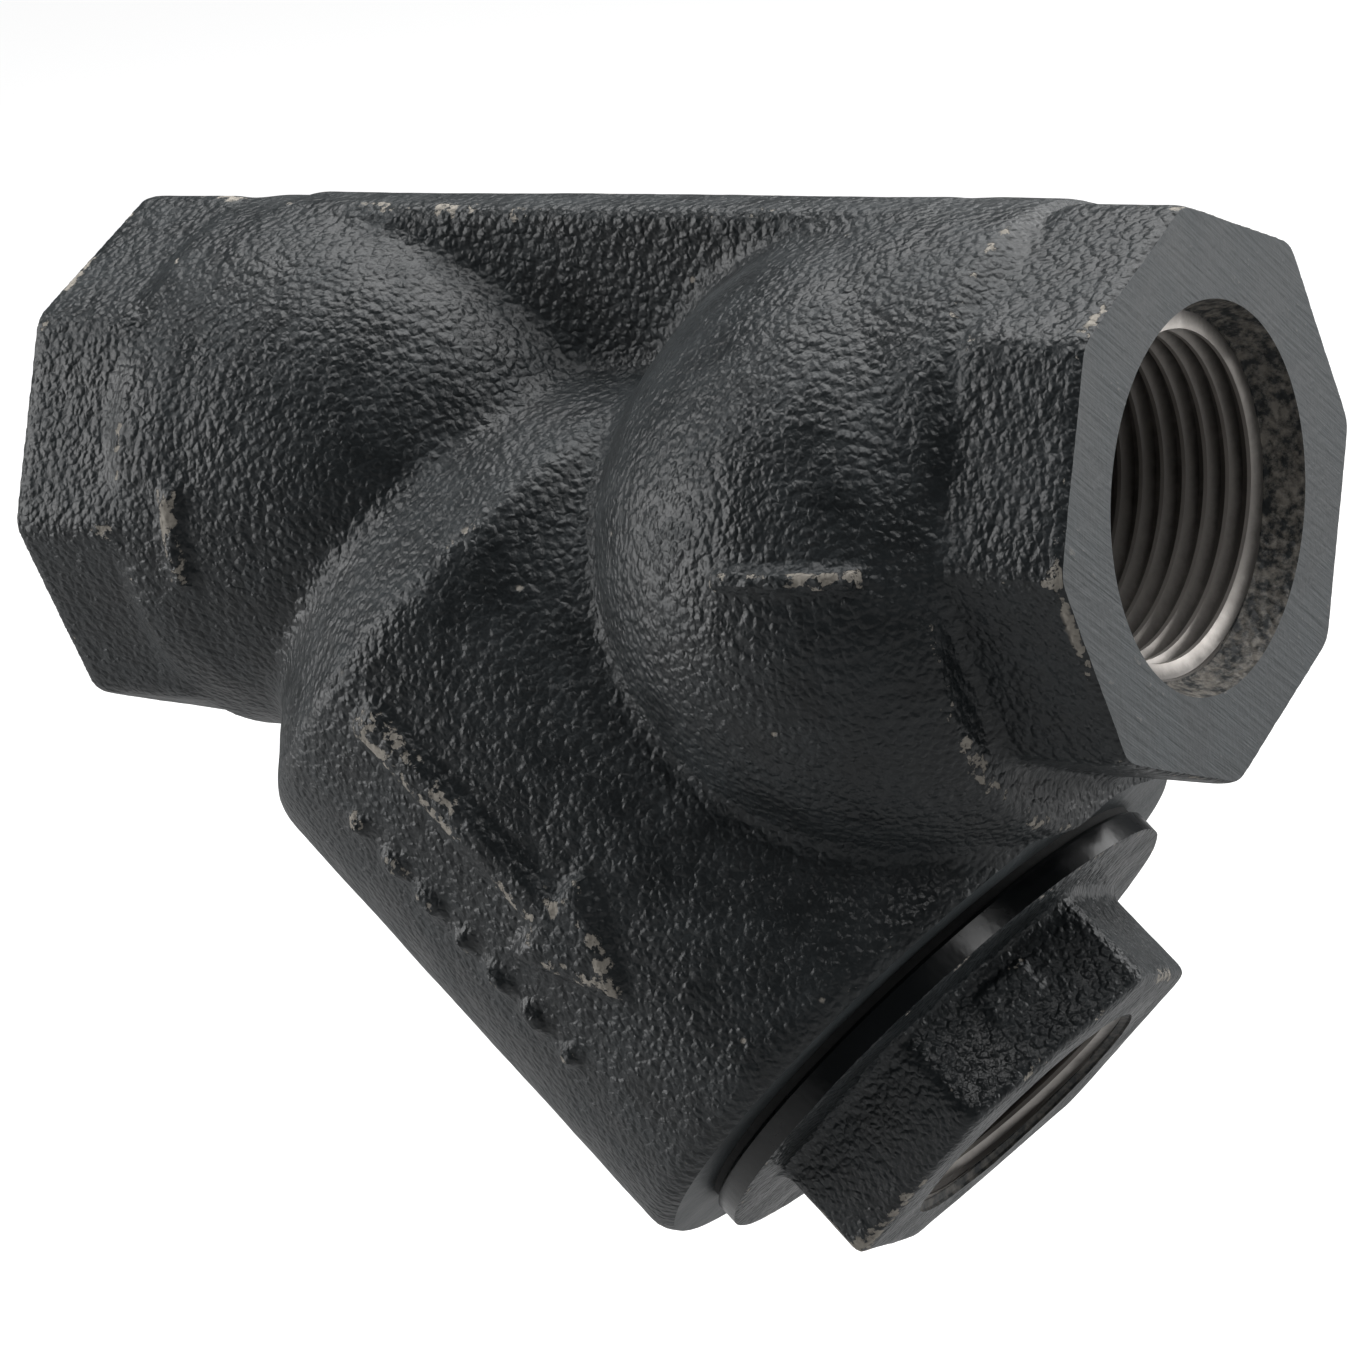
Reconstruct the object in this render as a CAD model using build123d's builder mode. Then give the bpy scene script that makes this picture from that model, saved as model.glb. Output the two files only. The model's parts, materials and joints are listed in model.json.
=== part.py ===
from build123d import *
from math import sqrt
import os

# Threaded Y strainer for 3/4 in pipe, lengths in millimetres.
# The run axis is X and the flow goes towards +X. The origin is where the inlet
# thread begins, just inside the inlet end. The branch points down and forward.

# Run ends
run_length = 95.25            # face to face
hub_across_flats = 40.4       # cast octagon at each end
hub_length = 10.3
hub_corner_round = 1.0
recess_depth = 3.0            # plain mouth ahead of each pipe thread
recess_face_radius = 14.4
recess_root_radius = 13.6
pipe_thread_radius = 12.7     # pitch radius of the 3/4 in pipe thread
pipe_thread_length = 14.0
run_passage_radius = 10.5

# Branch
branch_x = 21.0               # where the branch axis crosses the run axis
barrel_radius = 26.6
barrel_mouth = 58.6           # machined mouth face, measured along the branch
barrel_top_radius = 14.0      # flat upper end, inside the domes
barrel_slope_end = 9.8        # where the sloped upper end starts to round over
barrel_slope_radius = 24.0
barrel_shoulder = 15.2        # where the rounded upper end meets the plain side
mouth_edge_round = 1.1
spot_face_depth = 8.0         # clearance cut in front of the mouth face
throat_radius = 12.2          # passage from the inlet into the screen
seat_floor = 7.0              # the screen's upper end rests here
seat_radius = 14.9
seat_length = 5.0
chamber_radius = 18.0
cap_bore_radius = 19.0        # pitch radius of the cap's straight thread
cap_bore_length = 12.0

# Casting shapes
inlet_dome_radius = 21.5
inlet_dome_center = 12.0
inlet_dome_nose = 32.0
outlet_dome_radius = 25.0
outlet_dome_x = 66.9
outlet_dome_z = -4.6
outlet_neck_radius = 21.5
outlet_neck_center = 73.0
outlet_neck_nose = 25.0
pocket_radius = 14.0          # outlet pocket beside the screen chamber
pocket_x = 61.0
web_thickness = 6.4
web_top = 21.7
mark_height = 0.8             # raised flow arrow
mark_root = 2.0               # how far the arrow starts below the barrel's surface
tick_height = 1.6             # short bars beside the hubs
inlet_tick_length = 7.5       # upright
outlet_tick_length = 8.0      # along the run
tick_width = 1.0
arrow_tail = 19.0             # measured along the branch
arrow_shaft_length = 18.0
arrow_shaft_width = 2.4
arrow_head_length = 8.0
arrow_head_width = 8.0

# Retainer cap and gasket
cap_fit = 0.05                # radial clearance of the running thread
gasket_thickness = 0.7
gasket_outer = 21.6
gasket_inner = 19.4
collar_radius = 22.1
collar_thickness = 2.2
hex_across_flats = 30.6
hex_length = 8.7
hex_corner_round = 1.5
hex_rim_round = 0.8
cap_turned = 3.0              # how the tightened cap's hexagon stands, in degrees
shank_length = 10.6
relief_depth = 1.0            # plain groove between the thread and the collar
relief_length = 1.6
cap_socket_radius = 14.95     # holds the screen's lower end
cap_socket_floor = 56.4       # measured along the branch
blow_off_radius = 10.0        # pitch radius of the 1/2 in pipe thread
blow_off_length = 11.0
blow_off_mouth_radius = 10.7
blow_off_passage = 9.0

# Screen
screen_outer = 14.2
screen_sheet_gauge = 0.6
screen_lap_width = 5.0
screen_lap_rise = 0.45
band_gauge = 0.4
band_width = 4.0
screen_end_gap = 0.2          # between the screen's lower end and the cap

# Values worked out from the ones above
inlet_face = -recess_depth
outlet_face = inlet_face + run_length
outlet_thread_start = outlet_face - recess_depth
inlet_hub_end = inlet_face + hub_length
outlet_hub_start = outlet_face - hub_length
collar_back = barrel_mouth + gasket_thickness
relief_start = collar_back - relief_length
hex_back = collar_back + collar_thickness
hex_face = hex_back + hex_length
screen_top = seat_floor
arrow_head_start = arrow_tail + arrow_shaft_length
screen_bottom = cap_socket_floor - screen_end_gap

branch_axis = Axis((branch_x, 0, 0), (1, 0, -1))
branch = Plane(origin=(branch_x, 0, 0), x_dir=(1, 0, 1), z_dir=(1, 0, -1))
# In this side plane the first coordinate runs along the branch and the second
# runs square to it, up and forward.
branch_side = Plane(origin=(branch_x, 0, 0), x_dir=(1, 0, -1), z_dir=(0, -1, 0))
arrow_face = branch_side.offset(barrel_radius - mark_root)


def branch_cylinder(radius, start, end, mode=Mode.ADD):
    """A cylinder on the branch axis between two distances along it."""
    with BuildSketch(branch.offset(start)) as disc:
        Circle(radius)
    extrude(disc.sketch, amount=end - start, mode=mode)


def end_hub(start):
    """The octagonal wrench end, one corner up."""
    with BuildSketch(Plane.YZ.offset(start)) as octagon:
        RegularPolygon(hub_across_flats / 2, 8, major_radius=False)
        fillet(octagon.vertices(), hub_corner_round)
    extrude(octagon.sketch, amount=hub_length)


def inlet_dome():
    """The bullet-shaped inlet passage wall, running from its hub into the branch."""
    nose = inlet_dome_center + inlet_dome_nose
    with BuildSketch(Plane.XZ) as profile:
        with BuildLine():
            Line((nose, 0), (inlet_hub_end - 1, 0))
            Line((inlet_hub_end - 1, 0), (inlet_hub_end - 1, hub_across_flats / 2))
            Line(
                (inlet_hub_end - 1, hub_across_flats / 2),
                (inlet_dome_center, inlet_dome_radius),
            )
            EllipticalCenterArc(
                (inlet_dome_center, 0),
                inlet_dome_nose,
                inlet_dome_radius,
                start_angle=0,
                arc_size=90,
            )
        make_face()
    revolve(profile.sketch, axis=Axis.X)


def outlet_neck():
    """The round neck that joins the outlet dome to its hub."""
    nose = outlet_neck_center - outlet_neck_nose
    with BuildSketch(Plane.XZ) as profile:
        with BuildLine():
            Line((nose, 0), (outlet_hub_start + 1, 0))
            Line((outlet_hub_start + 1, 0), (outlet_hub_start + 1, hub_across_flats / 2))
            Line(
                (outlet_hub_start + 1, hub_across_flats / 2),
                (outlet_hub_start - 1.5, outlet_neck_radius),
            )
            Line(
                (outlet_hub_start - 1.5, outlet_neck_radius),
                (outlet_neck_center, outlet_neck_radius),
            )
            EllipticalCenterArc(
                (outlet_neck_center, 0),
                outlet_neck_nose,
                outlet_neck_radius,
                start_angle=90,
                arc_size=90,
            )
        make_face()
    revolve(profile.sketch, axis=Axis.X)


def barrel():
    """The branch barrel: sloped and rounded upper end, plain side, small mouth round."""
    with BuildSketch(branch_side) as profile:
        with BuildLine():
            Line((0, 0), (0, barrel_top_radius))
            slope = Line((0, barrel_top_radius), (barrel_slope_end, barrel_slope_radius))
            shoulder = TangentArc(
                (barrel_slope_end, barrel_slope_radius),
                (barrel_shoulder, barrel_radius),
                tangent=slope % 1,
            )
            Line(shoulder @ 1, (barrel_mouth - mouth_edge_round, barrel_radius))
            RadiusArc(
                (barrel_mouth - mouth_edge_round, barrel_radius),
                (barrel_mouth, barrel_radius - mouth_edge_round),
                mouth_edge_round,
            )
            Line((barrel_mouth, barrel_radius - mouth_edge_round), (barrel_mouth, 0))
            Line((barrel_mouth, 0), (0, 0))
        make_face()
    revolve(profile.sketch, axis=branch_axis)


def top_web():
    """The flat web that fills the notch above the two domes."""
    with Locations(((inlet_dome_center + outlet_neck_center) / 2, 0, web_top / 2)):
        Box(outlet_neck_center - inlet_dome_center, web_thickness, web_top)


def pipe_end(face, inward, ball_x, ball_radius):
    """One pipe end: cast mouth, thread wall, then a passage into a ball-shaped pocket."""
    thread_end = recess_depth + pipe_thread_length
    ball_depth = abs(ball_x - face)
    ball_start = ball_depth - sqrt(ball_radius**2 - run_passage_radius**2)
    side = Plane(origin=(face, 0, 0), x_dir=(inward, 0, 0), z_dir=(0, -inward, 0))
    with BuildSketch(side) as profile:
        with BuildLine():
            Polyline(
                (ball_depth + ball_radius, 0),
                (-1, 0),
                (-1, recess_face_radius),
                (0, recess_face_radius),
                (recess_depth, recess_root_radius),
                (recess_depth, pipe_thread_radius),
                (thread_end, pipe_thread_radius),
                (thread_end, run_passage_radius),
                (ball_start, run_passage_radius),
            )
            ThreePointArc(
                (ball_start, run_passage_radius),
                (ball_depth, ball_radius),
                (ball_depth + ball_radius, 0),
            )
        make_face()
    revolve(profile.sketch, axis=Axis.X, mode=Mode.SUBTRACT)


def branch_bore():
    """The whole branch cavity: throat, screen seat, chamber, cap thread and mouth face."""
    cut_end = barrel_mouth + spot_face_depth
    with BuildSketch(branch_side) as profile:
        with BuildLine():
            Polyline(
                (0, 0),
                (0, throat_radius),
                (seat_floor, throat_radius),
                (seat_floor, seat_radius),
                (seat_floor + seat_length, seat_radius),
                (seat_floor + seat_length, chamber_radius),
                (barrel_mouth - cap_bore_length, chamber_radius),
                (barrel_mouth - cap_bore_length, cap_bore_radius),
                (barrel_mouth, cap_bore_radius),
                (barrel_mouth, barrel_radius),
                (cut_end, barrel_radius),
                (cut_end, 0),
                (0, 0),
            )
        make_face()
    revolve(profile.sketch, axis=branch_axis, mode=Mode.SUBTRACT)


def cast_ticks():
    """Two short raised bars, one beside each hub."""
    with Locations((inlet_dome_center + 0.5, -inlet_dome_radius + 0.2, -0.5)):
        Box(tick_width, tick_height, inlet_tick_length)
    with Locations((outlet_neck_center - 0.5, -outlet_dome_radius + 1.6, 0.5)):
        Box(outlet_tick_length, tick_height, tick_width)


os.makedirs("parts", exist_ok=True)

# Flow arrow along the branch, which the body casting takes in
with BuildPart() as arrow:
    with BuildSketch(arrow_face):
        with Locations((arrow_tail + arrow_shaft_length / 2, 0)):
            Rectangle(arrow_shaft_length, arrow_shaft_width)
        with BuildLine():
            Polyline(
                (arrow_head_start, -arrow_head_width / 2),
                (arrow_head_start + arrow_head_length, 0),
                (arrow_head_start, arrow_head_width / 2),
                (arrow_head_start, -arrow_head_width / 2),
            )
        make_face()
    extrude(amount=2 * mark_root)
    branch_cylinder(barrel_radius + mark_height, 0, barrel_mouth, Mode.INTERSECT)

# Body casting
with BuildPart() as body:
    end_hub(inlet_face)
    end_hub(outlet_hub_start)
    inlet_dome()
    outlet_neck()
    with Locations((outlet_dome_x, 0, outlet_dome_z)):
        Sphere(outlet_dome_radius, rotation=(90, 0, 0))
    barrel()
    top_web()
    add(arrow.part)
    cast_ticks()
    branch_bore()
    pipe_end(inlet_face, 1, branch_x, throat_radius)
    pipe_end(outlet_face, -1, pocket_x, pocket_radius)
body.part.label = "body"
export_step(body.part, "parts/body.step")

# Cap gasket
with BuildPart() as cap_gasket:
    branch_cylinder(gasket_outer, barrel_mouth, collar_back)
    branch_cylinder(gasket_inner, barrel_mouth, collar_back, Mode.SUBTRACT)
cap_gasket.part.label = "cap_gasket"
export_step(cap_gasket.part, "parts/cap_gasket.step")

# Retainer cap
with BuildPart() as retainer_cap:
    branch_cylinder(collar_radius, collar_back, hex_back)
    with BuildSketch(branch.offset(hex_back)) as hexagon:
        RegularPolygon(hex_across_flats / 2, 6, major_radius=False, rotation=cap_turned)
        fillet(hexagon.vertices(), hex_corner_round)
    extrude(amount=hex_length)
    hex_rim = retainer_cap.faces().sort_by(branch_axis)[-1].edges()
    fillet(hex_rim, hex_rim_round)
    branch_cylinder(cap_bore_radius - cap_fit, collar_back - shank_length, relief_start)
    branch_cylinder(cap_bore_radius - relief_depth, relief_start, collar_back)
    branch_cylinder(
        cap_socket_radius, collar_back - shank_length, cap_socket_floor, Mode.SUBTRACT
    )
    branch_cylinder(blow_off_passage, cap_socket_floor, hex_face, Mode.SUBTRACT)
    branch_cylinder(blow_off_radius, hex_face - blow_off_length, hex_face, Mode.SUBTRACT)
    blow_off_rim = (
        retainer_cap.edges()
        .filter_by(GeomType.CIRCLE)
        .filter_by(lambda edge: abs(edge.radius - blow_off_radius) < 0.01)
        .sort_by(branch_axis)[-1]
    )
    chamfer(blow_off_rim, blow_off_mouth_radius - blow_off_radius)
retainer_cap.part.label = "retainer_cap"
export_step(retainer_cap.part, "parts/retainer_cap.step")

# Screen sheet, rolled with a lapped seam
with BuildPart() as screen_sheet:
    branch_cylinder(screen_outer, screen_top, screen_bottom)
    with BuildSketch(branch.offset(screen_top + band_width)) as lap:
        Circle(screen_outer + screen_lap_rise)
        with Locations((0, screen_outer)):
            Rectangle(screen_lap_width, screen_outer, mode=Mode.INTERSECT)
    extrude(amount=screen_bottom - screen_top - 2 * band_width)
    branch_cylinder(
        screen_outer - screen_sheet_gauge, screen_top, screen_bottom, Mode.SUBTRACT
    )
screen_sheet.part.label = "screen_sheet"
export_step(screen_sheet.part, "parts/screen_sheet.step")


def screen_band(start):
    """A rolled rim band around one end of the screen."""
    with BuildPart() as band:
        branch_cylinder(screen_outer + band_gauge, start, start + band_width)
        branch_cylinder(screen_outer, start, start + band_width, Mode.SUBTRACT)
    return band.part


band_starts = {
    "screen_upper_band": screen_top,
    "screen_lower_band": screen_bottom - band_width,
}
for band_name, band_start in band_starts.items():
    screen_rim = screen_band(band_start)
    screen_rim.label = band_name
    export_step(screen_rim, f"parts/{band_name}.step")
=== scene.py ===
import json
import math

import bpy
import numpy as np
from mathutils import Matrix, Vector

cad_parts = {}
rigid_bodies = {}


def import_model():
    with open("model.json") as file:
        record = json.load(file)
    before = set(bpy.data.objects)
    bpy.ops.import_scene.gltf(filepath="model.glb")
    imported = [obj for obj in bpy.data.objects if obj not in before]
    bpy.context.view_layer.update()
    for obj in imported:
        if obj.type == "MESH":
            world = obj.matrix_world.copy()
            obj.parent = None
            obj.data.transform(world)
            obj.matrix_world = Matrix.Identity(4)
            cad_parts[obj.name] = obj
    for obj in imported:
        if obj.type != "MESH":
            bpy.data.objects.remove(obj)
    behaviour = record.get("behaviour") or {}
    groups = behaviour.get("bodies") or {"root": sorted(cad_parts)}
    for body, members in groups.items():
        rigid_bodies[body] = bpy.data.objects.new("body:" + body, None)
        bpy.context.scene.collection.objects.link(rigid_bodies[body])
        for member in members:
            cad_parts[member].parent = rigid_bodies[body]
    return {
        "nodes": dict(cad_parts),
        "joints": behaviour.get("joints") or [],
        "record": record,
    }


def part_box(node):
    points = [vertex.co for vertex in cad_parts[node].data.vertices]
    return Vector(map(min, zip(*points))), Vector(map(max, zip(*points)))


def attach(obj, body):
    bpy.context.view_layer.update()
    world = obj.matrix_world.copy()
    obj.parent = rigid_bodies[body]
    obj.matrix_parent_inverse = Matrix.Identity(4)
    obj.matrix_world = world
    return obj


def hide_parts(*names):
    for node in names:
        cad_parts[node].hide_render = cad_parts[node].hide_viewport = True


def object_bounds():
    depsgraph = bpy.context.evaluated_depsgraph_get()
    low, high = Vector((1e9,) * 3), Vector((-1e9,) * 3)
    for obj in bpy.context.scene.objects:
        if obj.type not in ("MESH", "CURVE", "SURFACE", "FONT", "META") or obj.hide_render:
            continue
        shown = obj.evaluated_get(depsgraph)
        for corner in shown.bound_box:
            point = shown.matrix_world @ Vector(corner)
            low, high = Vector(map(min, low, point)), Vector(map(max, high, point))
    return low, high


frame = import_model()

bl_info = {
    "name": "Threaded Y Strainer",
    "version": (1, 0, 0),
    "blender": (4, 5, 0),
    "location": "3D View > Sidebar > Strainer",
    "description": "Builds a cast threaded Y strainer with its cap, pipe threads and perforated screen",
    "category": "Object",
}

MM = 0.001
CAD_BOX = [list(corner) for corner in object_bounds()]
MOUNTS = {mount["name"]: mount for mount in frame["record"]["mounts"]}
JOINTS = {joint["name"]: joint for joint in frame["joints"]}
NODES = frame["nodes"]

# The run axis is X. The branch leaves it at BRANCH_ROOT and goes along BRANCH.
RUN = Vector((1, 0, 0))
BRANCH = Vector(JOINTS["cap_turn"]["axis"]).normalized()
INLET = Vector(MOUNTS["inlet"]["pos_m"])
OUTLET = Vector(MOUNTS["outlet"]["pos_m"])
SEAT = Vector(JOINTS["cap_turn"]["pos_m"])
BRANCH_ROOT = Vector((SEAT.x + SEAT.z, 0, 0))
BLOW_OFF = Vector(MOUNTS["blow_off"]["pos_m"])
THREAD_RADIUS = MOUNTS["inlet"]["dims"]["r_mm"] * MM
THREAD_LENGTH = MOUNTS["inlet"]["dims"]["length_mm"] * MM
BLOW_OFF_RADIUS = MOUNTS["blow_off"]["dims"]["r_mm"] * MM
RECESS = 3.0 * MM
INLET_FACE = INLET.x - RECESS
OUTLET_FACE = OUTLET.x + RECESS
COLLAR_BACK = (SEAT - BRANCH_ROOT).dot(BRANCH)


def along_branch(point):
    """How far along the branch a point lies, from the run axis."""
    return (Vector(point) - BRANCH_ROOT).dot(BRANCH)


# Cuts in the body. The screen's upper end rests on SEAT_FLOOR.
MOUTH_RADIUS = 14.4 * MM
THREAD_BORE = 13.42 * MM
PASSAGE_RADIUS = 10.5 * MM
THROAT_RADIUS = 12.2 * MM
SEAT_FLOOR = 7 * MM
SEAT_END = 12 * MM
SEAT_RADIUS = 14.9 * MM
CHAMBER_RADIUS = 18 * MM
CAP_BORE = 19.62 * MM

HEX_FACE = along_branch(BLOW_OFF) + 5.0 * MM
CAP_TURNED = 3.0  # degrees that the tightened cap's hexagon stands round


# ---------------------------------------------------------------- sizes and colours

def length(name, text, default):
    return bpy.props.FloatProperty(name=name, description=text, default=default, subtype="DISTANCE",
                                   unit="LENGTH", precision=5)


def colour(name, text, default):
    return bpy.props.FloatVectorProperty(name=name, description=text, default=default, subtype="COLOR",
                                         size=3, min=0, max=1)


class StrainerSizes(bpy.types.PropertyGroup):
    """Sizes of the casting, the cap and the screen."""

    hub_flats: length("Hub across flats", "Width of the octagonal ends over their flats", 40.4 * MM)
    hub_length: length("Hub length", "Length of each octagonal end", 10.3 * MM)
    barrel_radius: length("Barrel radius", "Outside radius of the branch barrel", 26.6 * MM)
    mouth: length("Mouth face", "Where the machined mouth face lies, along the branch", 58.6 * MM)
    web_thickness: length("Web thickness", "Thickness of the web between the domes", 6.4 * MM)
    web_top: length("Web top", "Height of the web's top edge above the run axis", 21.7 * MM)
    skin: length("Skin size", "Size of the facets of the cast surface", 0.52 * MM)
    pitch: length("Thread pitch", "14 threads per inch", 1.814 * MM)
    collar_radius: length("Collar radius", "Outside radius of the cap's collar", 22.1 * MM)
    collar_thickness: length("Collar thickness", "Thickness of the cap's collar", 2.2 * MM)
    hex_flats: length("Hexagon across flats", "Width of the cap's hexagon over its flats", 30.6 * MM)
    screen_radius: length("Screen radius", "Outside radius of the rolled screen", 14.2 * MM)
    screen_gauge: length("Screen gauge", "Thickness of the screen sheet", 0.6 * MM)
    hole_radius: length("Hole radius", "Radius of one screen perforation", 0.8 * MM)


class StrainerColours(bpy.types.PropertyGroup):
    """Colours of the paint, the bare iron and the steel."""

    paint: colour("Paint", "Black paint with a slight green-blue cast", (0.013, 0.016, 0.0175))
    chipped: colour("Chipped edge", "Primer and iron where the paint is chipped", (0.50, 0.46, 0.40))
    iron: colour("Bare iron", "Cut threads", (0.46, 0.43, 0.40))
    steel: colour("Stainless steel", "Screen and bands", (0.56, 0.56, 0.54))
    gasket: colour("Gasket", "Compressed fibre", (0.018, 0.018, 0.018))


# ---------------------------------------------------------------- modelling tools

def deselect():
    if bpy.context.object and bpy.context.object.mode != "OBJECT":
        bpy.ops.object.mode_set(mode="OBJECT")
    bpy.ops.object.select_all(action="DESELECT")


def only(piece):
    deselect()
    piece.select_set(True)
    bpy.context.view_layer.objects.active = piece


def name_new(name):
    piece = bpy.context.object
    piece.name = name
    piece.data.name = name
    return piece


def apply_place(piece):
    only(piece)
    bpy.ops.object.transform_apply(location=True, rotation=True, scale=True)
    return piece


def lay_along(piece, origin, direction):
    """Moves a piece modelled up local Z from the origin onto an axis, near side towards -Y."""
    near = Vector((0, -1, 0))
    side = near.cross(direction)
    place = Matrix((side, near, direction)).transposed().to_4x4()
    place.translation = origin
    piece.matrix_world = place
    return apply_place(piece)


def modifier(piece, kind, **settings):
    only(piece)
    added = piece.modifiers.new(kind.title(), kind)
    for name, value in settings.items():
        setattr(added, name, value)
    bpy.ops.object.modifier_apply(modifier=added.name)
    return piece


def join(name, pieces):
    deselect()
    for piece in pieces:
        piece.select_set(True)
    bpy.context.view_layer.objects.active = pieces[0]
    bpy.ops.object.join()
    return name_new(name)


def outward(piece):
    only(piece)
    bpy.ops.object.mode_set(mode="EDIT")
    bpy.ops.mesh.select_all(action="SELECT")
    bpy.ops.mesh.remove_doubles(threshold=0.002 * MM)
    bpy.ops.mesh.normals_make_consistent(inside=False)
    bpy.ops.object.mode_set(mode="OBJECT")
    return piece


def turned(name, outline, sides=128):
    """A closed turned solid from (along, radius) points, made ring by ring up local Z."""
    deselect()
    start, radius = outline[0]
    bpy.ops.mesh.primitive_circle_add(vertices=sides, radius=radius, fill_type="NGON", location=(0, 0, start))
    piece = name_new(name)
    bpy.ops.object.transform_apply(location=True, rotation=True, scale=True)
    bpy.ops.object.mode_set(mode="EDIT")
    bpy.ops.mesh.select_all(action="SELECT")
    for along, new_radius in outline[1:]:
        grow = new_radius / radius
        bpy.ops.mesh.extrude_region_move(TRANSFORM_OT_translate={"value": (0, 0, along - start)})
        bpy.ops.transform.resize(value=(grow, grow, 1), center_override=(0, 0, along))
        start, radius = along, new_radius
    bpy.ops.object.mode_set(mode="OBJECT")
    return outward(piece)


def ball(name, centre, radii, keep=None):
    """A ball or egg. keep is (x, direction): what lies past x in that direction is cut off."""
    deselect()
    bpy.ops.mesh.primitive_uv_sphere_add(segments=96, ring_count=64, radius=1, location=centre, scale=radii)
    piece = apply_place(name_new(name))
    if keep:
        bpy.ops.object.mode_set(mode="EDIT")
        bpy.ops.mesh.select_all(action="SELECT")
        bpy.ops.mesh.bisect(plane_co=(keep[0], 0, 0), plane_no=(keep[1], 0, 0), clear_outer=True,
                            use_fill=True)
        bpy.ops.object.mode_set(mode="OBJECT")
    return piece


def block(name, centre, size, edge=0.0):
    deselect()
    bpy.ops.mesh.primitive_cube_add(size=1, location=centre, scale=size)
    piece = apply_place(name_new(name))
    if edge:
        modifier(piece, "BEVEL", width=edge, segments=3)
    return piece


def polygon_prism(name, sides, flats, start, end, turn, edge, rim=0.0):
    """A prism with rounded long edges, up local Z from start to end."""
    deselect()
    radius = flats / 2 / math.cos(math.pi / sides)
    middle = (start + end) / 2
    bpy.ops.mesh.primitive_cylinder_add(vertices=sides, radius=radius, depth=end - start,
                                        location=(0, 0, middle), rotation=(0, 0, turn))
    piece = apply_place(name_new(name))
    bpy.ops.object.mode_set(mode="EDIT")
    bpy.ops.mesh.select_all(action="DESELECT")
    bpy.ops.object.mode_set(mode="OBJECT")
    points = piece.data.vertices
    for line in piece.data.edges:
        a, b = (points[i].co for i in line.vertices)
        line.select = abs(a.z - b.z) > (end - start) / 2
    bpy.ops.object.mode_set(mode="EDIT")
    bpy.context.tool_settings.mesh_select_mode = (False, True, False)
    bpy.ops.mesh.bevel(offset=edge, segments=4)
    bpy.ops.object.mode_set(mode="OBJECT")
    if rim:
        for line in piece.data.edges:
            a, b = (points[i].co for i in line.vertices)
            line.select = min(a.z, b.z) > end - 1e-6
        for face in piece.data.polygons:
            face.select = False
        bpy.ops.object.mode_set(mode="EDIT")
        bpy.ops.mesh.bevel(offset=rim, segments=3)
        bpy.ops.object.mode_set(mode="OBJECT")
    bpy.context.tool_settings.mesh_select_mode = (True, False, False)
    return piece


def points_of(piece):
    flat = np.empty(len(piece.data.vertices) * 3, np.float32)
    piece.data.vertices.foreach_get("co", flat)
    return flat.reshape(-1, 3).astype(float)


def bend_of_surface(piece):
    """How far each point lies inside (+) or outside (-) the middle of its neighbours, along its normal."""
    points = points_of(piece)
    lines = np.empty(len(piece.data.edges) * 2, np.int32)
    piece.data.edges.foreach_get("vertices", lines)
    lines = lines.reshape(-1, 2)
    normals = np.empty(len(points) * 3, np.float32)
    piece.data.vertex_normals.foreach_get("vector", normals)
    total = np.zeros_like(points)
    count = np.zeros(len(points))
    for a, b in (lines.T, lines.T[::-1]):
        np.add.at(total, a, points[b])
        np.add.at(count, a, 1)
    middle = total / count[:, None]
    return ((middle - points) * normals.reshape(-1, 3)).sum(1), lines, count


def spread(values, lines, count, times):
    """Averages a value over the surface, so that it fades out sideways."""
    for _ in range(times):
        total = np.zeros_like(values)
        np.add.at(total, lines[:, 0], values[lines[:, 1]])
        np.add.at(total, lines[:, 1], values[lines[:, 0]])
        values = 0.5 * values + 0.5 * total / count
    return values


def select_points(piece, chosen):
    only(piece)
    bpy.ops.object.mode_set(mode="EDIT")
    bpy.ops.mesh.select_all(action="DESELECT")
    bpy.ops.object.mode_set(mode="OBJECT")
    piece.data.vertices.foreach_set("select", chosen)
    bpy.ops.object.mode_set(mode="EDIT")


def fill_creases(piece, size, rings, passes, between=(-1, 1)):
    """Runs solids together as one shell and fills the creases whose x lies between two places."""
    modifier(piece, "REMESH", mode="VOXEL", voxel_size=size, adaptivity=0)
    modifier(piece, "SMOOTH", factor=0.5, iterations=3)
    hollow = bend_of_surface(piece)[0] > 0.05 * size
    across = points_of(piece)[:, 0]
    hollow &= (across > between[0]) & (across < between[1])
    for more, times in ((0, passes), (3, passes // 4)):
        select_points(piece, hollow)
        for _ in range(rings + more):
            bpy.ops.mesh.select_more()
        bpy.ops.mesh.vertices_smooth(factor=0.5, repeat=times)
        bpy.ops.object.mode_set(mode="OBJECT")
    return piece


def cast_skin(piece, size, softness, pebble):
    """One cast skin with soft edges and an uneven surface, with more edge_wear on outside edges."""
    modifier(piece, "REMESH", mode="VOXEL", voxel_size=size, adaptivity=0)
    modifier(piece, "SMOOTH", factor=0.5, iterations=softness)
    hollow, lines, count = bend_of_surface(piece)
    worn = np.clip(-hollow / size * 13 - 0.4, 0, 1)
    worn = np.clip(spread(worn, lines, count, 2) * 2.6, 0, 0.45)
    edge_wear = piece.data.attributes.new("edge_wear", "FLOAT", "POINT")
    edge_wear.data.foreach_set("value", worn.astype(np.float32))
    for grain, depth in ((7.0 * MM, 0.14 * MM), (1.5 * MM, pebble)):
        lumps = bpy.data.textures.new("cast_lumps", "CLOUDS")
        lumps.noise_scale = grain
        lumps.noise_depth = 1
        modifier(piece, "DISPLACE", texture=lumps, texture_coords="LOCAL", strength=depth, mid_level=0.5)
    return piece


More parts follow.
